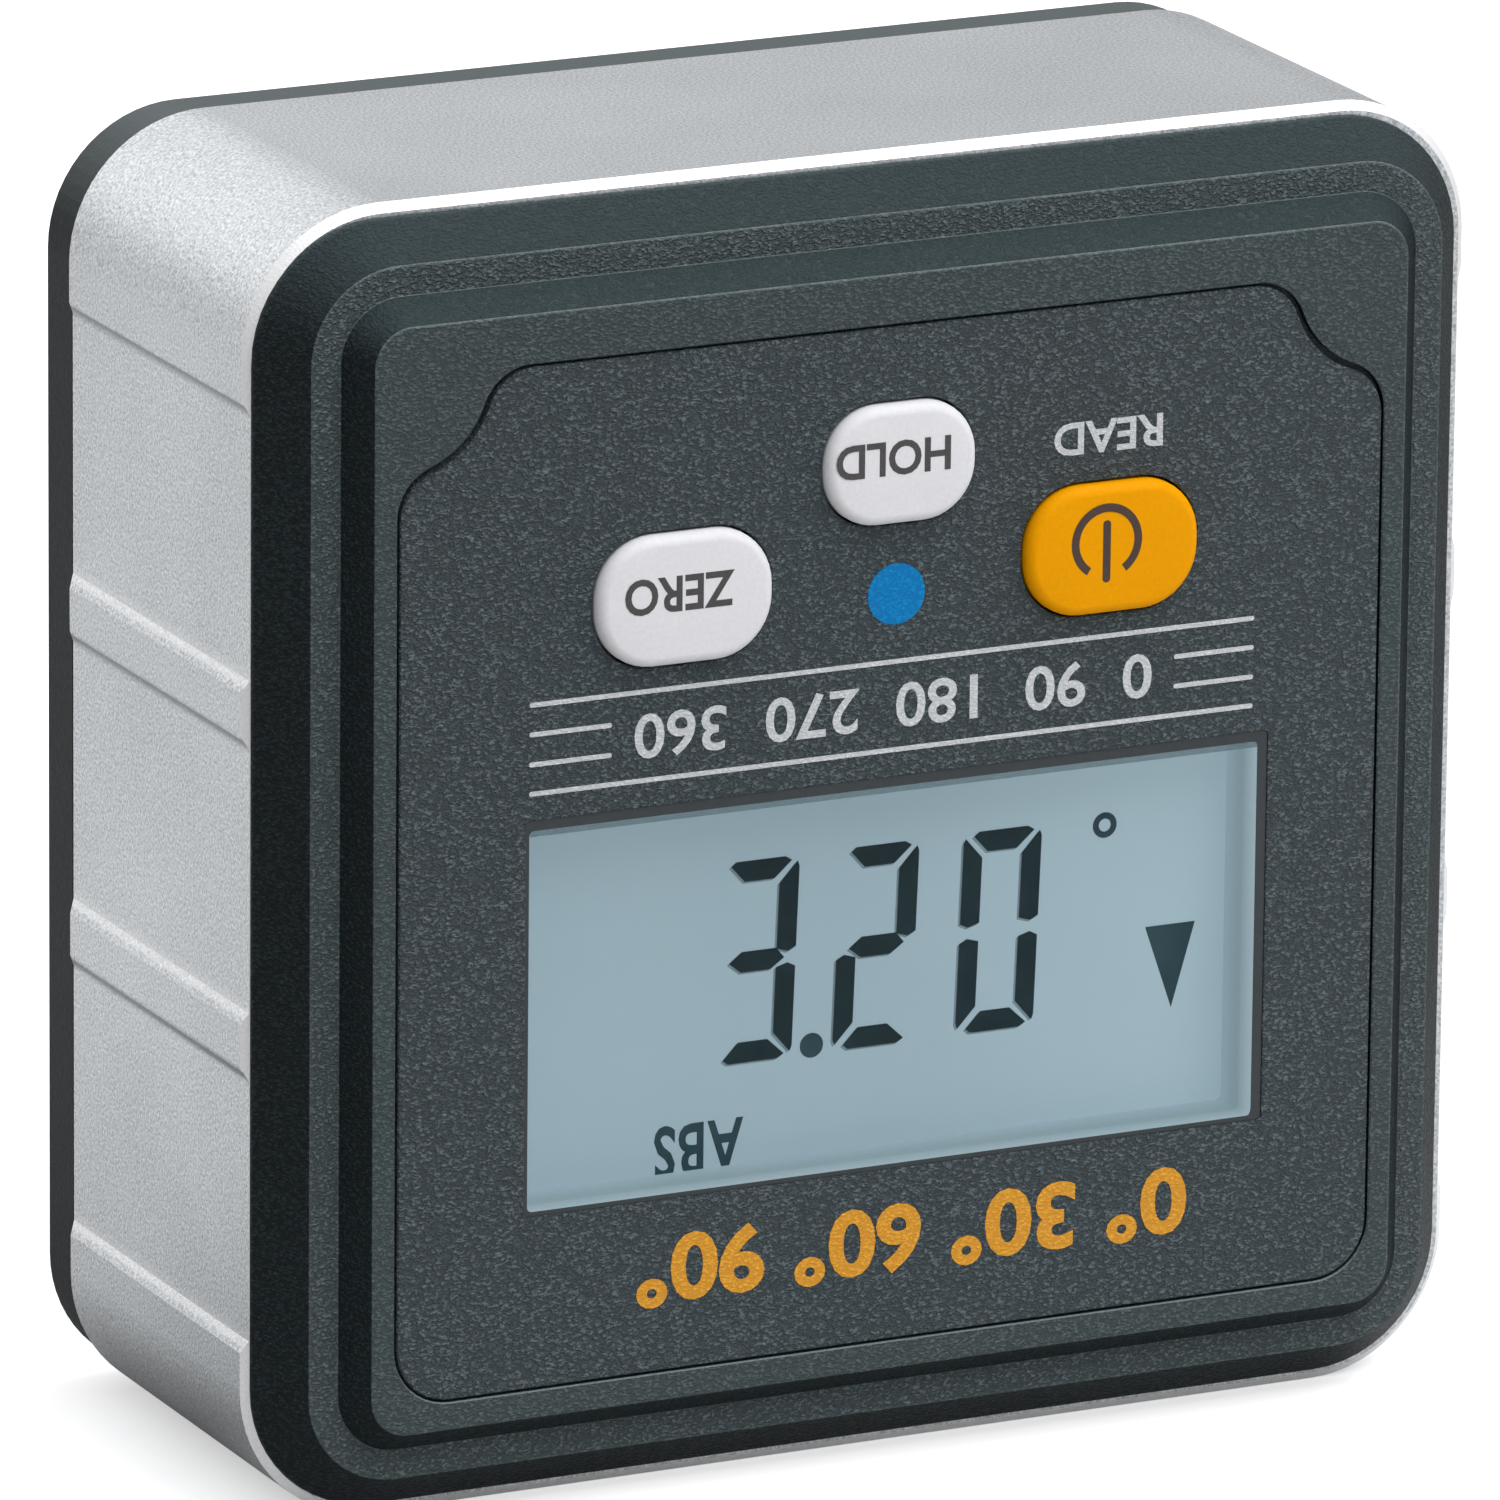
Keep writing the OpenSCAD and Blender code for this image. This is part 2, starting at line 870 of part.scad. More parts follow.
// Conical spring pressed flat between a contact plate and a battery's base
module contact_spring(side, row) {
    seat = side * (bay_len - contact_t) / 2;
    translate([seat, front_y + battery_depth, mid_z + row * battery_pitch / 2])
        rotate([0, -side * 90, 0])
            rotate_extrude()
                for (turn = [0:spring_turns - 1])
                    translate([spring_base_r - turn * spring_taper - 2 * spring_wire, turn * spring_wire])
                        square([2 * spring_wire, spring_wire]);
}

module contact_positive() {
    color(steel)
        contact_plate(-1, 1);
}

module contact_negative() {
    color(steel) {
        contact_plate(-1, -1);
        contact_spring(-1, -1);
    }
}

// Link that joins the two batteries at the right end of the bay
module contact_link() {
    color(steel) {
        contact_plate(1, 1);
        contact_plate(1, -1);
        contact_spring(1, 1);
        slab(bay_floor, bay_floor + link_h)
            translate([(bay_len - contact_t) / 2, 0])
                square([contact_t, battery_pitch], center = true);
    }
}

frame();
front_cover();
overlay();
lcd_window();
lcd_glass();
light_guide();
zebra_strips();
key_zero();
key_hold();
key_power();
plunger_zero();
plunger_hold();
plunger_power();
switch_bodies();
pcb();
pcb_screws();
microcontroller();
tilt_sensor();
radio_module();
rear_cover();
battery_door();
battery_upper();
battery_lower();
contact_link();
contact_positive();
contact_negative();
magnets();
front_seal();
rear_seal();
case_screws();
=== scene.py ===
from math import atan2, cos, pi, radians, sin, sqrt, tan

import bmesh
import bpy
from mathutils import Matrix, Vector
from mathutils.geometry import tessellate_polygon


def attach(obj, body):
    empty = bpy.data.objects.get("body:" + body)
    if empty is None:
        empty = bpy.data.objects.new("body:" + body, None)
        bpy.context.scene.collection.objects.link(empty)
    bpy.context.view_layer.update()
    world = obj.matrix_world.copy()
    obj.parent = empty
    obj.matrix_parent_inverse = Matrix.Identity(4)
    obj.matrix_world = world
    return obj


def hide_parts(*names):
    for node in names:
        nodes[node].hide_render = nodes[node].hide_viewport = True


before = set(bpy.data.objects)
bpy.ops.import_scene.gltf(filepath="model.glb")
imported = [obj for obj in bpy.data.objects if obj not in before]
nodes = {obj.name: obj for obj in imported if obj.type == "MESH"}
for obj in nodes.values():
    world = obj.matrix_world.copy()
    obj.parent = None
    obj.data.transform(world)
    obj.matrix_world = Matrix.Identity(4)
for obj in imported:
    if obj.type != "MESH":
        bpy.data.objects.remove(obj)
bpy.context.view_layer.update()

MM = 0.001          # a millimetre in metres
BODY = 60.0         # side of the square body
CORNER = 6.5        # radius of its corners
MID = 30.0          # height of its middle
PANEL_PITCH = 15.15  # from one sunk side panel to the next

# Depths, from the front to the rear
KEY_TOP = -13.8
FACE = -13.2        # display face
LENS_FRONT = -13.1
POCKET = -12.7      # floor of the overlay's pocket
LENS_BACK = -12.3
CELL = -10.6        # front of the liquid crystal cell
FLANGE = (-10.4, -9.6)  # front and back of a key's flange
FRONT = -9.8        # front edge of the frame
STEM_END = -8.8     # back of a key's stem

# Places about the body's middle
WINDOW = (0.0, -6.9)
SCREW = 24.2
SCREWS = [(x, z) for x in (-SCREW, SCREW) for z in (-SCREW, SCREW)]
POSTS = [(x, z) for x in (-16.2, 16.2) for z in (-19.95, 19.95)]
# middle, width, height and corner radius
KEYS = {
    "zero": (-10.5, 11.8, 8.7, 6.4, 2.9),
    "hold": (0.0, 16.8, 7.5, 5.9, 2.7),
    "power": (10.5, 11.8, 8.7, 6.4, 2.9),
}
CAP_TRIM = (0.04, 0.32)     # how much less wide and high the visible cap is
CAP_SHIFT = (0.02, -0.07)   # how far its middle is from the key's
POCKET_GAP = 0.22   # groove around the overlay
EDGE_BREAK = 0.06   # depth of a broken edge
CURVE = 10          # steps along a rounded corner
INK = 0.015         # thickness of print
INK_FOOT = KEY_TOP + 0.004  # print on a key starts just inside its top
SEGMENT = 0.012     # thickness of a display segment


# Flat outlines: lists of (x, z) about the body's middle, anticlockwise seen from the front

def arc(cx, cz, r, start, end, steps):
    return [(cx + r * cos(radians(start + (end - start) * i / steps)),
             cz + r * sin(radians(start + (end - start) * i / steps))) for i in range(steps + 1)]


def round_rect(w, h, r, at=(0.0, 0.0), steps=8):
    r = max(r, 0.01)
    points = []
    for sx, sz, start in ((1, 1, 0), (-1, 1, 90), (-1, -1, 180), (1, -1, 270)):
        points += arc(at[0] + sx * (w / 2 - r), at[1] + sz * (h / 2 - r), r, start, start + 90, steps)
    return points


def circle(at, r, steps=28):
    return arc(at[0], at[1], r, 0, 360, steps)[:-1]


def window_ring(left, right, low, high, r, grow=0.0):
    """A rounded window between two sides and two heights above the ground."""
    middle = ((left + right) / 2, (low + high) / 2 - MID)
    return round_rect(right - left + 2 * grow, high - low + 2 * grow, r, middle)


def overlay_outline(grow):
    """Plain lower corners, and an S-shaped hollow in each upper corner."""
    half, top, bottom = 24.0 + grow, 22.8 + grow, -23.8 - grow
    low, blend, hollow = 2.5 + grow, 2.2 + grow, 4.65 - grow
    reach = sqrt((hollow + blend) ** 2 - blend ** 2)
    lean = 180 / pi * atan2(reach, blend)
    right = arc(half - low, bottom + low, low, -90, 0, CURVE)
    right += arc(half - blend, top - reach, blend, 0, lean, CURVE)
    right += arc(half, top, hollow, 180 + lean, 270 - lean, CURVE)[1:-1]
    right += arc(half - reach, top - blend, blend, 90 - lean, 90, CURVE)
    return right + [(-x, z) for x, z in reversed(right)]


def key_outline(name, grow):
    x, z, w, h, r = KEYS[name]
    return round_rect(w + 2 * grow, h + 2 * grow, r + grow, (x, z), CURVE)


def cap_outline(name, grow):
    """The part of a key that shows, a little smaller than the moulding behind it."""
    x, z, w, h, r = KEYS[name]
    middle = (x + CAP_SHIFT[0], z + CAP_SHIFT[1])
    return round_rect(w - CAP_TRIM[0] + 2 * grow, h - CAP_TRIM[1] + 2 * grow, r - 0.1 + grow, middle, CURVE)


def turned(points, quarter):
    """Points turned about the middle by a number of quarter turns."""
    turn = radians(90 * quarter)
    return [(x * cos(turn) - z * sin(turn), x * sin(turn) + z * cos(turn)) for x, z in points]


def rounded_path(points, radii, steps=4):
    """A polyline whose inner corners are rounded, as (inset, depth) pairs."""
    path = [points[0]]
    for i in range(1, len(points) - 1):
        p, a, b, r = Vector(points[i]), Vector(points[i - 1]), Vector(points[i + 1]), radii[i - 1]
        u, v = (a - p).normalized(), (b - p).normalized()
        turn = pi - u.angle(v)
        run = r * tan(turn / 2)
        start, end = p + u * run, p + v * run
        middle = p + (u + v).normalized() * (r / cos(turn / 2))
        for k in range(steps + 1):
            spot = start.lerp(end, k / steps) - middle
            path.append(tuple(middle + spot.normalized() * r))
    return path + [points[-1]]


def add_object(name, data):
    obj = bpy.data.objects.new(name, data)
    bpy.context.scene.collection.objects.link(obj)
    return obj


def clean(mesh, dist, smooth=False):
    """Joins doubled points and turns all faces outward."""
    work = bmesh.new()
    work.from_mesh(mesh)
    bmesh.ops.remove_doubles(work, verts=work.verts, dist=dist)
    bmesh.ops.recalc_face_normals(work, faces=work.faces)
    if smooth:
        for face in work.faces:
            face.smooth = True
    work.to_mesh(mesh)
    work.free()


class Shell:
    """Collects the loops and faces of one closed piece, in millimetres."""

    def __init__(self):
        self.verts, self.faces = [], []

    def loop(self, outline, y):
        start = len(self.verts)
        self.verts += [(x, y, z + MID) for x, z in outline]
        return list(range(start, len(self.verts)))

    def wall(self, a, b):
        n = len(a)
        self.faces += [(a[i], a[(i + 1) % n], b[(i + 1) % n], b[i]) for i in range(n)]

    def walls(self, loops):
        for a, b in zip(loops, loops[1:]):
            self.wall(a, b)

    def cap(self, outer, *holes):
        rings = [outer, *holes]
        flat = [i for ring in rings for i in ring]
        lines = [[Vector((self.verts[i][0], self.verts[i][2], 0)) for i in ring] for ring in rings]
        self.faces += [tuple(flat[k] for k in tri) for tri in tessellate_polygon(lines)]

    def tower(self, outline, levels):
        """Walls of one outline through several depths; gives the first and last loop."""
        loops = [self.loop(outline, y) for y in levels]
        self.walls(loops)
        return loops[0], loops[-1]

    def block(self, outline, y0, y1):
        first, last = self.tower(outline, (y0, y1))
        self.cap(first)
        self.cap(last)

    def piece(self, name, body, material, replaces=(), sharp=35):
        mesh = bpy.data.meshes.new(name)
        mesh.from_pydata([Vector(v) * MM for v in self.verts], [], self.faces)
        clean(mesh, 1e-8, smooth=True)
        mesh.set_sharp_from_angle(angle=radians(sharp))
        mesh.materials.append(material)
        obj = add_object(name, mesh)
        even = obj.modifiers.new("even shading", "WEIGHTED_NORMAL")
        even.keep_sharp = True
        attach(obj, body)
        if replaces:
            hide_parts(*replaces)
        return obj


# Materials

def linear(*rgb):
    return tuple(((c / 255 + 0.055) / 1.055) ** 2.4 if c > 10 else c / 255 / 12.92 for c in rgb) + (1.0,)


class Tree:
    """Adds shader nodes together with their links and values."""

    def __init__(self, tree):
        self.tree = tree

    def add(self, kind, inputs=None, **props):
        node = self.tree.nodes.new(kind)
        for key, value in props.items():
            setattr(node, key, value)
        for key, value in (inputs or {}).items():
            if isinstance(value, bpy.types.NodeSocket):
                self.tree.links.new(value, node.inputs[key])
            else:
                node.inputs[key].default_value = value
        return node


def new_group(name, inputs, outputs):
    tree = bpy.data.node_groups.new(name, "ShaderNodeTree")
    for label, value in inputs:
        socket = tree.interface.new_socket(label, in_out="INPUT", socket_type="NodeSocketFloat")
        socket.default_value = value
    for label in outputs:
        tree.interface.new_socket(label, in_out="OUTPUT", socket_type="NodeSocketFloat")
    t = Tree(tree)
    return t, t.add("NodeGroupInput").outputs, t.add("NodeGroupOutput")


def in_millimetres(t):
    place = t.add("ShaderNodeTexCoord").outputs["Object"]
    return t.add("ShaderNodeVectorMath", {0: place, 1: (1000, 1000, 1000)}, operation="MULTIPLY").outputs[0]


def make_speckle():
    """Fine even grit: blasted metal, moulded plastic and rubber."""
    t, given, out = new_group("speckle", [("Per mm", 4.0), ("Sharpness", 0.6)], ["Height", "Cloud"])
    place = in_millimetres(t)
    fine = t.add("ShaderNodeTexNoise", {"Vector": place, "Scale": given["Per mm"], "Detail": 3.0,
                                        "Roughness": given["Sharpness"]})
    cloud = t.add("ShaderNodeTexNoise", {"Vector": place, "Scale": 0.12, "Detail": 2.0})
    t.tree.links.new(fine.outputs["Fac"], out.inputs["Height"])
    t.tree.links.new(cloud.outputs["Fac"], out.inputs["Cloud"])
    return t.tree


def make_pebble():
    """Leather-like grain: small pebbles drawn out along one slanting direction."""
    t, given, out = new_group("pebble grain", [("Per mm", 4.0)], ["Height", "Cloud"])
    place = in_millimetres(t)
    bent = t.add("ShaderNodeTexNoise", {"Vector": place, "Scale": 2.0, "Detail": 2.0})
    shift = t.add("ShaderNodeVectorMath", {0: bent.outputs["Color"], 1: (0.22, 0.22, 0.22)},
                  operation="MULTIPLY")
    moved = t.add("ShaderNodeVectorMath", {0: place, 1: shift.outputs[0]}, operation="ADD")
    drawn = t.add("ShaderNodeMapping", {"Vector": moved.outputs[0], "Rotation": (0, radians(32), 0),
                                        "Scale": (0.72, 1.0, 1.25)})
    cells = t.add("ShaderNodeTexVoronoi", {"Vector": drawn.outputs[0], "Scale": given["Per mm"],
                                           "Smoothness": 0.45}, feature="SMOOTH_F1")
    grit = t.add("ShaderNodeTexNoise", {"Vector": drawn.outputs[0], "Scale": 9.0, "Detail": 2.0,
                                        "Roughness": 0.55})
    up = t.add("ShaderNodeMath", {0: 1.0, 1: cells.outputs["Distance"]}, operation="SUBTRACT")
    both = t.add("ShaderNodeMath", {0: up.outputs[0], 1: 0.55, 2: grit.outputs["Fac"]},
                 operation="MULTIPLY_ADD")
    level = t.add("ShaderNodeMapRange", {"Value": both.outputs[0], "From Min": 0.6, "From Max": 1.2})
    cloud = t.add("ShaderNodeTexNoise", {"Vector": place, "Scale": 0.1, "Detail": 2.0})
    t.tree.links.new(level.outputs[0], out.inputs["Height"])
    t.tree.links.new(cloud.outputs["Fac"], out.inputs["Cloud"])
    return t.tree


SPECKLE, PEBBLE = make_speckle(), make_pebble()


def make_material(name, dark, light, rough, grain=SPECKLE, per_mm=4.0, bump=0.006, cloud=0.25, spread=0.06,
                  metallic=0.0, **sockets):
    """A surface between two close colours, mixed by its grain, with the same grain in gloss and relief."""
    mat = bpy.data.materials.new(name)
    mat.use_nodes = True
    t = Tree(mat.node_tree)
    shader = mat.node_tree.nodes["Principled BSDF"]
    tex = t.add("ShaderNodeGroup", node_tree=grain)
    tex.inputs["Per mm"].default_value = per_mm
    share = t.add("ShaderNodeMath", {0: tex.outputs["Cloud"], 1: cloud}, operation="MULTIPLY")
    mixed = t.add("ShaderNodeMath", {0: tex.outputs["Height"], 1: 1.0 - cloud, 2: share.outputs[0]},
                  operation="MULTIPLY_ADD")
    ramp = t.add("ShaderNodeMapRange", {"Value": mixed.outputs[0], "From Min": 0.3, "From Max": 0.7})
    tint = t.add("ShaderNodeMix", data_type="RGBA")
    tint.inputs["A"].default_value, tint.inputs["B"].default_value = dark, light
    for socket in tint.inputs:
        if socket.name == "Factor" and socket.type == "VALUE" and socket.enabled:
            t.tree.links.new(ramp.outputs[0], socket)
    gloss = t.add("ShaderNodeMapRange", {"Value": tex.outputs["Height"], "To Min": rough + spread,
                                         "To Max": rough - spread})
    relief = t.add("ShaderNodeBump", {"Height": tex.outputs["Height"], "Strength": 1.0, "Distance": bump * MM})
    colour = next(o for o in tint.outputs if o.type == "RGBA" and o.enabled)
    t.tree.links.new(colour, shader.inputs["Base Color"])
    t.tree.links.new(gloss.outputs[0], shader.inputs["Roughness"])
    t.tree.links.new(relief.outputs[0], shader.inputs["Normal"])
    shader.inputs["Metallic"].default_value = metallic
    for key, value in sockets.items():
        shader.inputs[key.replace("_", " ")].default_value = value
    return mat


blasted_metal = make_material("blasted aluminium", linear(160, 165, 168), linear(240, 243, 245), 0.37,
                              per_mm=7.0, bump=0.035, cloud=0.1, spread=0.12, metallic=1.0)
cover_plastic = make_material("textured dark plastic", linear(56, 68, 70), linear(90, 103, 105), 0.5,
                              grain=PEBBLE, per_mm=5.0, bump=0.1, cloud=0.1, Specular_IOR_Level=0.3)
step_plastic = make_material("coarse dark plastic", linear(66, 79, 82), linear(122, 137, 140), 0.46,
                             grain=PEBBLE, per_mm=5.0, bump=0.3, cloud=0.1, Specular_IOR_Level=0.4)
# darker copy of the bezel's plastic for its slopes and lip: a smooth finish, with painted shade
smooth_shaded_plastic = make_material("smooth dark plastic with painted shade", linear(22, 30, 32), linear(44, 55, 58), 0.36,
                               grain=PEBBLE, per_mm=5.0, bump=0.1, Specular_IOR_Level=0.1)
# lighter copy of the bezel's plastic for its rounded edges: a painted highlight
edge_highlight_plastic = make_material("rounded plastic edge with painted highlight", linear(60, 72, 74), linear(94, 107, 109), 0.45,
                             grain=PEBBLE, per_mm=5.0, bump=0.06, Specular_IOR_Level=0.3)
rear_plastic = make_material("rear dark plastic", linear(18, 23, 25), linear(30, 36, 38), 0.45, per_mm=5.0,
                             bump=0.02, Specular_IOR_Level=0.1)
overlay_film = make_material("grained overlay", linear(60, 73, 78), linear(121, 137, 143), 0.46,
                             grain=PEBBLE, per_mm=4.2, bump=0.4, cloud=0.05, Specular_IOR_Level=0.4)
lens_clear = make_material("clear lens", linear(24, 28, 30), linear(30, 34, 36), 0.06, per_mm=2.0, bump=0.0,
                           spread=0.01, Alpha=0.03)
lens_print = make_material("smooth dark border", linear(38, 45, 48), linear(46, 53, 56), 0.3, per_mm=3.0,
                           bump=0.001)
# the cell glows though it is no lamp: painted light that evens out its shade
glowing_cell_face = make_material("pale liquid crystal with painted glow", linear(112, 130, 138), linear(116, 134, 142), 0.36,
                          per_mm=0.5, bump=0.0, cloud=0.7, spread=0.02, Specular_IOR_Level=0.3,
                          Emission_Strength=0.52)
# the well's walls glow: painted light and shade
glowing_well_wall = make_material("pale well wall", linear(66, 77, 82), linear(72, 84, 89), 0.5, per_mm=3.0,
                          bump=0.002, Specular_IOR_Level=0.1, Emission_Strength=0.85)
segment_dark = make_material("dark segment", linear(8, 32, 38), linear(20, 48, 54), 0.4, per_mm=0.8,
                             bump=0.0, cloud=0.3, Specular_IOR_Level=0.2)
segment_pale = make_material("paler segment", linear(36, 62, 70), linear(48, 76, 84), 0.4, per_mm=0.8,
                             bump=0.0, cloud=0.3, Specular_IOR_Level=0.2)
segment_shade = make_material("segment shadow", linear(84, 106, 114), linear(96, 118, 126), 0.5, per_mm=1.2,
                              bump=0.0, Alpha=0.3)
edge_shade = make_material("shade under the border", linear(88, 112, 120), linear(98, 122, 130), 0.5,
                           per_mm=1.2, bump=0.0, Alpha=0.5)
white_rubber = make_material("white key", linear(226, 226, 230), linear(236, 236, 239), 0.5, per_mm=5.0,
                             bump=0.004, Specular_IOR_Level=0.3)
orange_rubber = make_material("orange key", linear(238, 156, 0), linear(246, 166, 0), 0.5, per_mm=5.0,
                              bump=0.004, Specular_IOR_Level=0.05)
key_ink = make_material("key ink", linear(62, 58, 59), linear(80, 75, 76), 0.55, per_mm=8.0, bump=0.002)
power_ink = make_material("power ink", linear(60, 42, 34), linear(76, 54, 42), 0.55, per_mm=8.0, bump=0.002)
white_ink = make_material("pale ink", linear(196, 200, 203), linear(222, 225, 228), 0.5, grain=PEBBLE,
                          per_mm=5.0, bump=0.04, cloud=0.05)
orange_ink = make_material("orange ink", linear(212, 144, 14), linear(240, 172, 36), 0.5, grain=PEBBLE,
                           per_mm=5.0, bump=0.04, cloud=0.05)
blue_ink = make_material("blue ink", linear(0, 118, 184), linear(8, 142, 206), 0.45, grain=PEBBLE,
                         per_mm=5.0, bump=0.02, cloud=0.05, Specular_IOR_Level=0.15)
seal_rubber = make_material("black seal", linear(18, 18, 19), linear(30, 30, 31), 0.7, per_mm=5.0)
chip_plastic = make_material("black plastic", linear(24, 25, 27), linear(36, 37, 39), 0.5, per_mm=5.0)
spring_steel = make_material("spring steel", linear(170, 172, 175), linear(196, 198, 200), 0.3, per_mm=6.0,
                             metallic=1.0)
board_green = make_material("circuit board", linear(20, 74, 46), linear(32, 92, 58), 0.4, per_mm=3.0,
                            bump=0.004)
battery_skin = make_material("battery jacket", linear(34, 36, 40), linear(52, 54, 58), 0.3, per_mm=2.0,
                             bump=0.001)
milky_plastic = make_material("milky plastic", linear(222, 226, 224), linear(236, 239, 237), 0.5,
                              per_mm=3.0)
magnet_plate = make_material("plated magnet", linear(176, 178, 180), linear(206, 207, 208), 0.25,
                             per_mm=5.0, metallic=1.0)


def fill_ramp(ramp, stops):
    """Sets a colour ramp to (place, colour) pairs."""
    marks = ramp.color_ramp.elements
    while len(marks) < len(stops):
        marks.new(0.5)
    for mark, (at, colour) in zip(marks, stops):
        mark.position, mark.color = at, colour


def glow_along(mat, axis, start, end, stops):
    """Painted light: emission colour that changes along one axis, between two places in millimetres."""
    t = Tree(mat.node_tree)
    place = t.add("ShaderNodeSeparateXYZ", {0: in_millimetres(t)}).outputs[axis]
    level = t.add("ShaderNodeMapRange", {"Value": place, "From Min": start, "From Max": end})
    ramp = t.add("ShaderNodeValToRGB", {"Fac": level.outputs[0]})
    ramp.color_ramp.interpolation = "EASE"
    fill_ramp(ramp, stops)
    t.tree.links.new(ramp.outputs[0], mat.node_tree.nodes["Principled BSDF"].inputs["Emission Color"])


def tinted(t, plain, factor, tone):
    """A second tone laid over a colour by a factor."""
    tint = t.add("ShaderNodeMix", data_type="RGBA")
    share = next(i for i in tint.inputs if i.name == "Factor" and i.type == "VALUE" and i.enabled)
    t.tree.links.new(factor, share)
    t.tree.links.new(plain, next(i for i in tint.inputs if i.name == "A" and i.type == "RGBA"))
    next(i for i in tint.inputs if i.name == "B" and i.type == "RGBA").default_value = tone
    return next(o for o in tint.outputs if o.type == "RGBA" and o.enabled)


def looking(t):
    """The true normal's parts, without regard to the way they point, and its height part as it is."""
    normal = t.add("ShaderNodeNewGeometry").outputs["True Normal"]
    bare = t.add("ShaderNodeVectorMath", {0: normal}, operation="ABSOLUTE").outputs[0]
    parts = t.add("ShaderNodeSeparateXYZ", {0: bare}).outputs
    return parts["X"], parts["Y"], t.add("ShaderNodeSeparateXYZ", {0: normal}).outputs["Z"]


def shade_creases(mat):
    """Painted shade at the head of each sunk panel, painted highlight at its foot, painted highlight on the cut
    edges.
    """
    t = Tree(mat.node_tree)
    shader = mat.node_tree.nodes["Principled BSDF"]
    aside, ahead, _ = looking(t)
    height = t.add("ShaderNodeSeparateXYZ", {0: in_millimetres(t)}).outputs["Z"]
    panels_end = 22.7
    within = t.add("ShaderNodeMath", {0: height, 1: MID, 2: panels_end}, operation="COMPARE").outputs[0]
    side = t.add("ShaderNodeMath", {0: aside, 1: 0.8}, operation="GREATER_THAN").outputs[0]
    mask = t.add("ShaderNodeMath", {0: within, 1: side}, operation="MULTIPLY").outputs[0]
    half = PANEL_PITCH / 2
    local = t.add("ShaderNodeMath", {0: height, 1: MID + half, 2: MID - half}, operation="WRAP").outputs[0]
    colour = shader.inputs["Base Color"].links[0].from_socket
    # height above a panel's middle, strength
    dark = [(5.8, 0.0), (6.25, 1.0), (6.33, 1.0), (6.46, 0.0)]
    light = [(-6.4, 0.0), (-6.28, 0.9), (-6.1, 1.0), (-5.9, 0.55), (-5.4, 0.0)]
    for stops, tone, most in ((dark, (0.12, 0.13, 0.14, 1), 0.75), (light, (1.0, 1.0, 1.0, 1), 0.45)):
        level = t.add("ShaderNodeMapRange", {"Value": local, "From Min": MID - half, "From Max": MID + half})
        ramp = t.add("ShaderNodeValToRGB", {"Fac": level.outputs[0]})
        fill_ramp(ramp, [((at + half) / PANEL_PITCH, (value, value, value, 1)) for at, value in stops])
        factor = t.add("ShaderNodeMath", {0: ramp.outputs[0], 1: mask}, operation="MULTIPLY").outputs[0]
        share = t.add("ShaderNodeMath", {0: factor, 1: most}, operation="MULTIPLY").outputs[0]
        colour = tinted(t, colour, share, tone)
    # painted highlight on the cut edges: a whiter colour and less metal
    cut = t.add("ShaderNodeMath", {0: ahead, 1: 0.707, 2: 0.12}, operation="COMPARE").outputs[0]
    share = t.add("ShaderNodeMath", {0: cut, 1: 0.8}, operation="MULTIPLY").outputs[0]
    t.tree.links.new(tinted(t, colour, share, (1.0, 1.0, 1.0, 1)), shader.inputs["Base Color"])
    cut_metallic = t.add("ShaderNodeMapRange", {"Value": cut, "To Min": 1.0, "To Max": 0.35})
    t.tree.links.new(cut_metallic.outputs[0], shader.inputs["Metallic"])


def paint_top_light(mat, tone):
    """Painted light: lighter where the surface looks up."""
    t = Tree(mat.node_tree)
    shader = mat.node_tree.nodes["Principled BSDF"]
    level = t.add("ShaderNodeMapRange", {"Value": looking(t)[2], "From Min": 0.2, "From Max": 0.95})
    plain = shader.inputs["Base Color"].links[0].from_socket
    t.tree.links.new(tinted(t, plain, level.outputs[0], tone), shader.inputs["Base Color"])


# painted light and shade down the well: darker partway, lighter at both ends
glow_along(glowing_well_wall, "Y", LENS_FRONT, CELL,
           [(0.0, linear(154, 174, 182)), (0.42, linear(126, 147, 154)), (1.0, linear(138, 161, 171))])
# painted light, lightest at the cell's right end
glow_along(glowing_cell_face, "X", -14.0, 18.0,
           [(0.0, linear(156, 180, 190)), (0.4, linear(153, 177, 187)), (1.0, linear(170, 196, 206))])
shade_creases(blasted_metal)
# painted light on the tops of the rear cover, the bezel's slopes and its rounded edges
paint_top_light(rear_plastic, linear(74, 82, 83))
paint_top_light(smooth_shaded_plastic, linear(60, 73, 76))
paint_top_light(edge_highlight_plastic, linear(128, 142, 145))

FINISH = {
    "frame": blasted_metal, "rear_cover": rear_plastic, "battery_door": rear_plastic,
    "lcd_window": lens_clear, "lcd_glass": glowing_cell_face, "light_guide": milky_plastic,
    "zebra_strips": seal_rubber, "plunger_zero": chip_plastic, "plunger_hold": chip_plastic,
    "plunger_power": chip_plastic, "switch_bodies": spring_steel, "pcb": board_green,
    "pcb_screws": spring_steel, "microcontroller": chip_plastic, "tilt_sensor": chip_plastic,
    "radio_module": spring_steel, "battery_upper": battery_skin, "battery_lower": battery_skin,
    "contact_link": spring_steel, "contact_positive": spring_steel, "contact_negative": spring_steel,
    "magnets": magnet_plate, "front_seal": seal_rubber, "rear_seal": seal_rubber,
    "case_screws": spring_steel,
}
for name, material in FINISH.items():
    mesh = nodes[name].data
    if not mesh.materials:
        mesh.materials.append(material)
    for i in range(len(mesh.materials)):
        mesh.materials[i] = material


# Front cover: two bevelled steps around a flat face with the overlay's pocket

LIP, LEDGE, RISE = 0.2, 2.05, 3.4   # heights of the lip, the first step and the face above the frame
LIP_INSET = 0.5
LIP_ASIDE, LIP_LOW = -0.2, 0.16     # the lip sits a little to the left and is a little less high
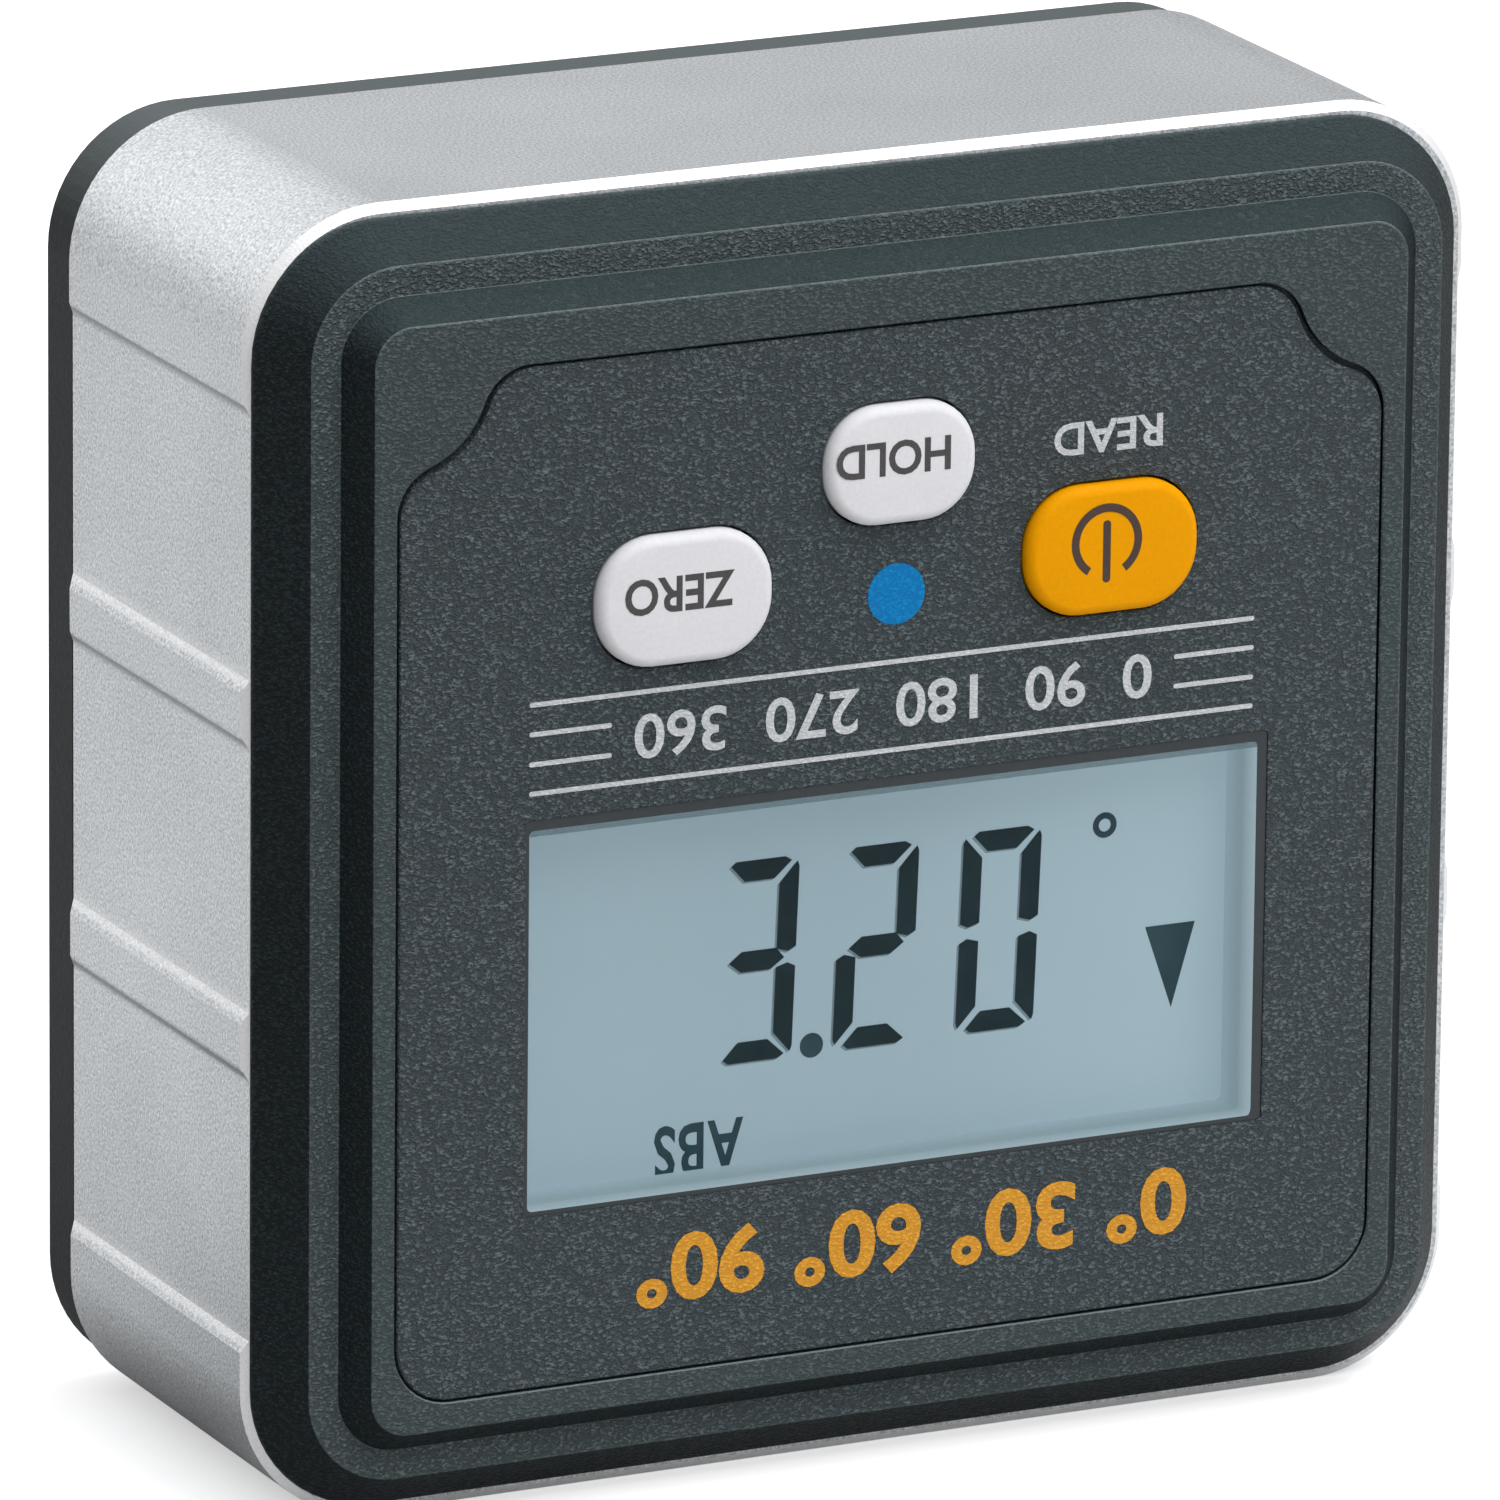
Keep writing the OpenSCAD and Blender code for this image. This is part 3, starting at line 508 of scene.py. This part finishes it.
# inset and depth of the bezel's corners, and the radii of those between the ends
BEZEL_PROFILE = [(LIP_INSET, 0.0), (LIP_INSET, -LIP), (2.3, -LEDGE), (3.64, -LEDGE), (4.73, -RISE),
                 (5.1, -RISE)]
BEZEL_ROUNDS = [0.35, 0.28, 0.1, 0.24]
LENS_SEAT, OPENING = (36.6, 18.2), (36.0, 17.6)
KEY_GAP = 0.2
BOSS = 3.2              # radius of the solid corners around the case screws
CAVITY_ASIDE = 0.17     # from a screw's middle to the side of the cavity
GROOVE = 0.6            # depth of the seal's groove
# the smooth copy carries painted shade, the edge copy a painted highlight
SMOOTH_SHADED, STEP, EDGE = 1, 2, 3    # places of the bezel's further materials


def make_bezel():
    s = Shell()
    rings = []
    for inset, depth in rounded_path(BEZEL_PROFILE, BEZEL_ROUNDS):
        aside, low = (LIP_ASIDE, LIP_LOW) if inset < 0.8 else (0.0, 0.0)
        side = BODY - 2 * inset
        outline = round_rect(side, side - low, CORNER - inset, (aside, 0.0), 12)
        rings.append(s.loop(outline, FRONT + depth))
    s.walls(rings)
    lip = s.loop(overlay_outline(POCKET_GAP + EDGE_BREAK), FACE)
    edge = s.loop(overlay_outline(POCKET_GAP), FACE + EDGE_BREAK)
    floor = s.loop(overlay_outline(POCKET_GAP), POCKET)
    s.cap(rings[-1], lip)
    s.walls([lip, edge, floor])
    # openings for the lens and the keys
    seat_top, seat = s.tower(round_rect(*LENS_SEAT, 0.2, WINDOW), (POCKET, LENS_BACK))
    ledge, window_back = s.tower(round_rect(*OPENING, 0.2, WINDOW), (LENS_BACK, CELL))
    s.cap(seat, ledge)
    keys = [s.tower(key_outline(name, KEY_GAP), (POCKET, CELL)) for name in KEYS]
    s.cap(floor, seat_top, *[top for top, _ in keys])
    # inside: cavity with solid corners, seal groove and blind screw holes
    bite = sqrt(BOSS ** 2 - CAVITY_ASIDE ** 2)
    lean = 180 / pi * atan2(bite, CAVITY_ASIDE)
    corner = arc(SCREW, SCREW, BOSS, 360 - lean, 90 + lean, 12)
    cavity = [point for quarter in range(4) for point in turned(corner, quarter)]
    cavity_back, cavity_floor = s.tower(cavity, (FRONT, CELL))
    s.cap(cavity_floor, window_back, *[back for _, back in keys])
    groove_out, groove_out_floor = s.tower(round_rect(56.2, 56.2, 4.6, steps=12), (FRONT, FRONT - GROOVE))
    groove_in, groove_in_floor = s.tower(round_rect(54.6, 54.6, 3.8, steps=12), (FRONT, FRONT - GROOVE))
    s.cap(groove_out_floor, groove_in_floor)
    s.cap(rings[0], groove_out)
    holes = []
    for at in SCREWS:
        mouth, end = s.tower(circle(at, 1.3), (FRONT, -11.9))
        s.cap(end)
        holes.append(mouth)
    s.cap(groove_in, cavity_back, *holes)
    # locating bars behind the cover and the four posts of the board
    right = arc(SCREW, SCREW, 3.35, 127.7, 158.1, 5)
    bar = right + [(-x, z) for x, z in reversed(right)]
    for quarter in range(4):
        s.block(turned(bar, quarter), -10.0, -7.3)
    for at in POSTS:
        root, top = s.tower(circle(at, 1.75), (-10.8, -6.8))
        mouth, end = s.tower(circle(at, 0.8), (-6.8, -10.0))
        s.cap(root)
        s.cap(end)
        s.cap(top, mouth)
    bezel = s.piece("bezel", "gauge", cover_plastic, ["front_cover"], sharp=30)
    for material in (smooth_shaded_plastic, step_plastic, edge_highlight_plastic):
        bezel.data.materials.append(material)
    # painted highlight on the rounded edges, painted shade on the lip and the slopes; the step keeps its
    # coarser grain
    for face in bezel.data.polygons:
        y, lean = face.center.y / MM, face.normal.y
        on_lip = FRONT - LIP < y < FRONT - 0.02
        if y < FACE + 0.05 and -0.985 < lean < -0.3 or y < FRONT - 1.5 and -0.985 < lean < -0.8:
            face.material_index = EDGE
        elif on_lip or lean > -0.8 and y < FRONT - 0.15:
            face.material_index = SMOOTH_SHADED
        elif abs(y - FRONT + LEDGE) < 0.2:
            face.material_index = STEP


def make_overlay():
    s = Shell()
    underside = POCKET - 0.01
    top = s.loop(overlay_outline(0.03), FACE)
    side = s.loop(overlay_outline(0.09), FACE + EDGE_BREAK)
    back = s.loop(overlay_outline(0.09), underside)
    s.walls([top, side, back])
    tops, backs = [], []
    for name in KEYS:
        levels = ((0.09, FACE), (0.05, FACE + 0.04), (0.05, underside))
        rings = [s.loop(cap_outline(name, grow), y) for grow, y in levels]
        s.walls(rings)
        tops.append(rings[0])
        backs.append(rings[-1])
    # the window's sides as they show, and behind the lens
    seen = (-17.97, 18.68, 14.05, 32.3)
    behind = (-18.3, 18.7, 14.0, 32.32)
    levels = ((0.03, seen, FACE), (0.0, seen, FACE + 0.03), (0.0, seen, LENS_FRONT - 0.03),
              (0.0, behind, LENS_FRONT - 0.03), (0.0, behind, underside))
    rings = [s.loop(window_ring(*sides, 0.2 + grow, grow), y) for grow, sides, y in levels]
    s.walls(rings)
    tops.append(rings[0])
    backs.append(rings[-1])
    s.cap(top, *tops)
    s.cap(back, *backs)
    s.piece("grained_overlay", "gauge", overlay_film, ["overlay"])


def make_key(name, body, material):
    s = Shell()
    at = KEYS[name][:2]
    inset, shoulder, crown = 0.06, KEY_TOP + 0.04, 2.0
    path = [(inset, FLANGE[0]), (inset, shoulder), (crown, KEY_TOP), (2.4, KEY_TOP)]
    rings = [s.loop(cap_outline(name, -step), y) for step, y in rounded_path(path, [0.5, 2.0], steps=7)]
    s.walls(rings)
    s.cap(rings[-1])
    flange, flange_back = s.tower(key_outline(name, 0.8), FLANGE)
    s.cap(flange, rings[0])
    stem, stem_end = s.tower(circle(at, 1.5), (FLANGE[1], STEM_END))
    s.cap(flange_back, stem)
    s.cap(stem_end)
    s.piece("key_cap_" + name, body, material, ["key_" + name], sharp=50)


make_bezel()
make_overlay()
make_key("zero", "zero_key", white_rubber)
make_key("hold", "hold_key", white_rubber)
make_key("power", "power_key", orange_rubber)


# Display: printed border on the lens, pale walls of the well, segments on the cell

def make_frame_plate(name, outer, inner, y0, y1, material):
    s = Shell()
    out_a, out_b = s.tower(outer, (y0, y1))
    in_a, in_b = s.tower(inner, (y0, y1))
    s.cap(out_a, in_a)
    s.cap(out_b, in_b)
    s.piece(name, "gauge", material)


def make_display_well():
    """Pale funnel from the lens down to the cell, whose glow paints light and shade along its depth."""
    s = Shell()

    mouth, waist, foot = LENS_FRONT + 0.01, LENS_BACK - 0.01, CELL - 0.005

    def ring(grow, y):
        return s.loop(window_ring(-18.0, 18.0, 14.3, 31.9, 0.3 + max(grow, 0.0), grow), y)

    inside = [ring(0.17, mouth), ring(-0.03, waist), ring(-0.05, foot)]
    outside = [ring(0.19, mouth), ring(0.19, waist), ring(-0.01, waist), ring(-0.01, foot)]
    s.walls(inside)
    s.walls(outside)
    s.cap(outside[0], inside[0])
    s.cap(outside[-1], inside[-1])
    s.piece("display_well", "gauge", glowing_well_wall)


def make_edge_shade():
    """Soft shade that the upper edge of the border throws."""
    s = Shell()
    s.block(window_ring(-17.75, 18.18, 31.54, 31.84, 0.02), LENS_FRONT - 0.002, LENS_FRONT - 0.008)
    s.piece("border_shade", "gauge", edge_shade)


make_frame_plate("lens_border", window_ring(-18.25, 18.66, 14.02, 32.28, 0.2),
                 window_ring(-17.78, 18.2, 14.27, 31.82, 0.25),
                 LENS_FRONT - 0.02, LENS_FRONT, lens_print)
make_display_well()
make_edge_shade()

SEGMENTS = {"3": "abgcd", "2": "abged", "0": "abcdef"}
DIGIT_W, DIGIT_H, STROKE, SLANT, CUT = 3.9, 9.35, 0.96, 0.34, 0.26
DIGIT_FOOT = 19.05 - MID
DIGITS = (("3", -7.57), ("2", -1.64), ("0", 4.47))  # with the left side of each


def segment_outline(part):
    """One bar of a digit, in a box with its lower left corner at the origin."""
    w, h, t, g, m = DIGIT_W, DIGIT_H, STROKE, CUT, DIGIT_H / 2
    flat = [(g + 0.5, h), (w - g - 0.45, h), (w - g - 0.12, h - 0.2), (w - t - g, h - t), (t + g, h - t),
            (g + 0.25, h - 0.2)]
    tall = [(w, h - g - 0.25), (w - 0.1, h - g), (w - t, h - t - g), (w - t, m + t / 2 - 0.05),
            (w - t * 0.4, m + g), (w, m + g + 0.2)]
    if part == "a":
        shape = flat
    elif part == "d":
        shape = [(x, h - y) for x, y in flat]
    elif part == "g":
        k = t / 2
        shape = [(g + 0.35, m), (t + g, m + k), (w - t * 0.75 - g, m + k), (w - g - 0.3, m), (w - t - g, m - k),
                 (t + g, m - k)]
    elif part == "b":
        shape = tall
    elif part == "c":
        shape = [(x, h - y) for x, y in tall]
    elif part == "f":
        shape = [(w - x, y) for x, y in tall]
    else:
        shape = [(w - x, h - y) for x, y in tall]
    return [(x + SLANT * y / h, y) for x, y in shape]


def make_segments(name, y, depth, dx, dz, material):
    """All bars of the reading, shifted by dx and dz."""
    s = Shell()
    for digit, left in DIGITS:
        for part in SEGMENTS[digit]:
            shape = [(left + x + dx, DIGIT_FOOT + z + dz) for x, z in segment_outline(part)]
            s.block(shape, y, y - depth)
    s.piece(name, "gauge", material)


def make_display_marks():
    """Point, degree ring and arrow head, which the cell shows a little paler than the digits."""
    s = Shell()
    levels = (CELL, CELL - SEGMENT)
    s.block(circle((-2.66, 19.44 - MID), 0.58, 24), *levels)
    s.block([(13.97, 22.94 - MID), (15.34, 19.02 - MID), (16.48, 22.94 - MID)], *levels)
    rings = [s.tower(circle((11.85, 27.97 - MID), r, 24), levels) for r in (0.6, 0.3)]
    s.cap(rings[0][0], rings[1][0])
    s.cap(rings[0][1], rings[1][1])
    s.piece("display_marks", "gauge", segment_pale)


make_segments("digit_bars", CELL - SEGMENT, SEGMENT, 0.0, 0.0, segment_dark)
make_segments("digit_shadows", CELL, SEGMENT / 2, -0.1, -0.08, segment_shade)
make_display_marks()


# Print: thin plates on the panel and on the keys

def text_outline_mesh(text, weight, spacing, smooth):
    curve = bpy.data.curves.new("lettering", "FONT")
    curve.body = text
    curve.size = 1.0
    curve.offset = weight
    curve.space_character = spacing
    curve.extrude = 0.5
    curve.resolution_u = smooth
    holder = add_object("lettering", curve)
    bpy.context.view_layer.update()
    mesh = bpy.data.meshes.new_from_object(holder.evaluated_get(bpy.context.evaluated_depsgraph_get()))
    bpy.data.objects.remove(holder)
    bpy.data.curves.remove(curve)
    return mesh


def make_print(name, text, at, width, cap, y, thick, body, material, weight, spacing=1.0, smooth=4):
    """Lettering as a thin plate, turned to read from the other end of the body."""
    mesh = text_outline_mesh(text, weight, spacing, smooth)
    xs = [v.co.x for v in mesh.vertices]
    ys = [v.co.y for v in mesh.vertices]
    sx, sy = width / (max(xs) - min(xs)), cap / (max(ys) - min(ys))
    mx, my = (max(xs) + min(xs)) / 2, (max(ys) + min(ys)) / 2
    for v in mesh.vertices:
        across, up = (v.co.x - mx) * sx, (v.co.y - my) * sy
        v.co = Vector((at[0] - across, y - thick * (v.co.z + 0.5), at[1] - up)) * MM
    clean(mesh, 1e-9)
    mesh.materials.clear()
    mesh.materials.append(material)
    mesh.name = name
    obj = add_object(name, mesh)
    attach(obj, body)


make_print("print_zero", "ZERO", (-10.88, 42.08), 5.3, 1.66, INK_FOOT, INK,
           "zero_key", key_ink, 0.022)
make_print("print_hold", "HOLD", (-0.5, 47.1), 5.6, 1.6, INK_FOOT, INK,
           "hold_key", key_ink, 0.022)
make_print("print_read", "READ", (10.4, 46.85), 5.4, 1.5, FACE, INK,
           "gauge", white_ink, 0.02)
make_print("print_absolute", "ABS", (-8.2, 15.32), 4.4, 2.5, CELL, SEGMENT,
           "gauge", segment_pale, 0.02, spacing=1.1, smooth=3)
make_print("print_range", "0  90  180  270  360", (0.0, 35.55), 25.5, 2.1, FACE, INK,
           "gauge", white_ink, 0.014)
make_print("print_angles", "0° 30° 60° 90°", (1.25, 10.75), 27.4, 3.4, FACE, INK,
           "gauge", orange_ink, 0.03)


def make_power_sign():
    s = Shell()
    at, outer, inner, gap = (10.1, 12.14), 1.75, 1.37, 34
    ring = arc(at[0], at[1], outer, -90 + gap, 270 - gap, 36)
    ring += arc(at[0], at[1], inner, 270 - gap, -90 + gap, 36)
    s.block(ring, INK_FOOT, INK_FOOT - INK)
    s.block(round_rect(0.38, 2.85, 0.18, (at[0], at[1] - 0.45)), INK_FOOT, INK_FOOT - INK)
    s.piece("power_sign", "power_key", power_ink)


def make_rules():
    """Two long lines, and two short ones at each end between them."""
    s = Shell()
    thick, end = 0.22, 0.1
    for z in (37.6, 33.54):
        s.block(round_rect(35.7, thick, end, (0, z - MID), 3), FACE, FACE - INK)
    for z in (36.25, 34.88):
        for side in (-1, 1):
            s.block(round_rect(4.0, thick, end, (side * 15.85, z - MID), 3), FACE, FACE - INK)
    s.piece("rule_lines", "gauge", white_ink)


def make_mark():
    s = Shell()
    s.block(circle((0.0, 10.7), 1.4, 40), FACE, FACE - INK)
    s.piece("blue_mark", "gauge", blue_ink)


make_power_sign()
make_rules()
make_mark()


# Stage: pale floor and soft light, placed in metres, and the camera of the photograph

def make_floor():
    mesh = bpy.data.meshes.new("floor")
    edge, low = 3.0, -0.02 * MM
    corners = [(-edge, -edge, low), (edge, -edge, low), (edge, edge, low), (-edge, edge, low)]
    mesh.from_pydata(corners, [], [(0, 1, 2, 3)])
    mat = bpy.data.materials.new("pale floor")
    mat.use_nodes = True
    t = Tree(mat.node_tree)
    shader = mat.node_tree.nodes["Principled BSDF"]
    tex = t.add("ShaderNodeGroup", node_tree=SPECKLE)
    tex.inputs["Per mm"].default_value = 0.4
    tone = t.add("ShaderNodeMapRange", {"Value": tex.outputs["Height"], "To Min": 0.5, "To Max": 0.6})
    t.tree.links.new(tone.outputs[0], shader.inputs["Roughness"])
    shader.inputs["Base Color"].default_value = (0.9, 0.9, 0.9, 1)
    shader.inputs["Emission Color"].default_value = (1, 1, 1, 1)
    shader.inputs["Emission Strength"].default_value = 0.45
    shader.inputs["Specular IOR Level"].default_value = 0.0
    place = t.add("ShaderNodeTexCoord").outputs["Object"]

    def across(way, near, far, first=0.0, last=1.0):
        """A value that changes along a way over the floor, between two distances in metres."""
        reach = t.add("ShaderNodeVectorMath", {0: place, 1: way}, operation="DOT_PRODUCT").outputs["Value"]
        return t.add("ShaderNodeMapRange", {"Value": reach, "From Min": near, "From Max": far,
                                            "To Min": first, "To Max": last}).outputs[0]

    # what surfaces mirror of the floor: pale behind and close in front, darker further to the left
    open_floor = across((-0.5, 0.87, 0.0), 0.0, 0.045)
    front_floor = across((-0.3, 1.0, 0.0), -0.01, 0.02, 1.0, 0.0)
    near_floor = across((-0.92, -0.39, 0.0), 0.03, 0.08, 1.0, 0.0)
    forward = t.add("ShaderNodeMath", {0: front_floor, 1: near_floor}, operation="MULTIPLY")
    pale = t.add("ShaderNodeMath", {0: open_floor, 1: forward.outputs[0]}, operation="MAXIMUM")
    shade = t.add("ShaderNodeMapRange", {"Value": pale.outputs[0], "To Min": 0.1, "To Max": 0.66})
    quiet = t.add("ShaderNodeBsdfDiffuse", {"Color": shade.outputs[0]})
    path = t.add("ShaderNodeLightPath").outputs["Is Camera Ray"]
    seen = t.add("ShaderNodeMixShader", {0: path, 1: quiet.outputs[0], 2: shader.outputs[0]})
    t.tree.links.new(seen.outputs[0], mat.node_tree.nodes["Material Output"].inputs["Surface"])
    mesh.materials.append(mat)
    obj = add_object("floor", mesh)


def make_world():
    world = bpy.data.worlds.new("studio")
    bpy.context.scene.world = world
    world.use_nodes = True
    t = Tree(world.node_tree)
    for node in list(world.node_tree.nodes):
        world.node_tree.nodes.remove(node)
    way = t.add("ShaderNodeTexCoord").outputs["Generated"]
    height = t.add("ShaderNodeSeparateXYZ", {0: way}).outputs["Z"]
    ramp = t.add("ShaderNodeValToRGB", {"Fac": height})
    fill_ramp(ramp, [(0.2, (0.42, 0.42, 0.43, 1)), (0.6, (0.9, 0.9, 0.91, 1))])
    glow = t.add("ShaderNodeBackground", {"Color": ramp.outputs[0], "Strength": 1.0})
    white = t.add("ShaderNodeBackground", {"Color": (1, 1, 1, 1), "Strength": 1.0})
    path = t.add("ShaderNodeLightPath").outputs["Is Camera Ray"]
    mix = t.add("ShaderNodeMixShader", {0: path, 1: glow.outputs[0], 2: white.outputs[0]})
    t.add("ShaderNodeOutputWorld", {"Surface": mix.outputs[0]})


def make_light(name, at, aim, size, power):
    data = bpy.data.lights.new(name, "AREA")
    data.shape = "RECTANGLE"
    data.size, data.size_y = size
    data.energy = power
    obj = add_object(name, data)
    obj.location = at
    obj.rotation_euler = (Vector(aim) - Vector(at)).to_track_quat("-Z", "Y").to_euler()


def make_camera():
    data = bpy.data.cameras.new("camera")
    data.lens, data.sensor_width, data.sensor_height = 398.02, 36.0, 36.0
    data.clip_start, data.clip_end = 0.01, 20.0
    turn = Matrix.Rotation(-0.1223, 3, "Z") @ Matrix.Rotation(-0.4314, 3, "Y") @ Matrix.Rotation(0.3084, 3, "X")
    rows = turn @ Matrix(((1, 0, 0), (0, 0, -1), (0, 1, 0)))
    place = Vector((0.0, 0.2, 30.0)) - rows.transposed() @ Vector((0.567, -0.0033, 747.4))
    axes = Matrix((rows[0], -rows[1], -rows[2])).transposed()
    obj = add_object("camera", data)
    obj.matrix_world = Matrix.Translation(place * MM) @ axes.to_4x4()
    bpy.context.scene.camera = obj


make_floor()
make_world()
make_light("key light", (0.25, -0.55, 0.75), (0, 0, 0.03), (0.6, 0.5), 3.6)
make_light("top light", (0.3, -0.07, 0.75), (0, 0, 0.04), (0.5, 0.4), 1.7)
make_light("back light", (-0.25, 0.85, 0.36), (0, 0, 0.04), (1.3, 0.5), 1.6)
make_camera()
bpy.context.scene.view_settings.view_transform = "Standard"
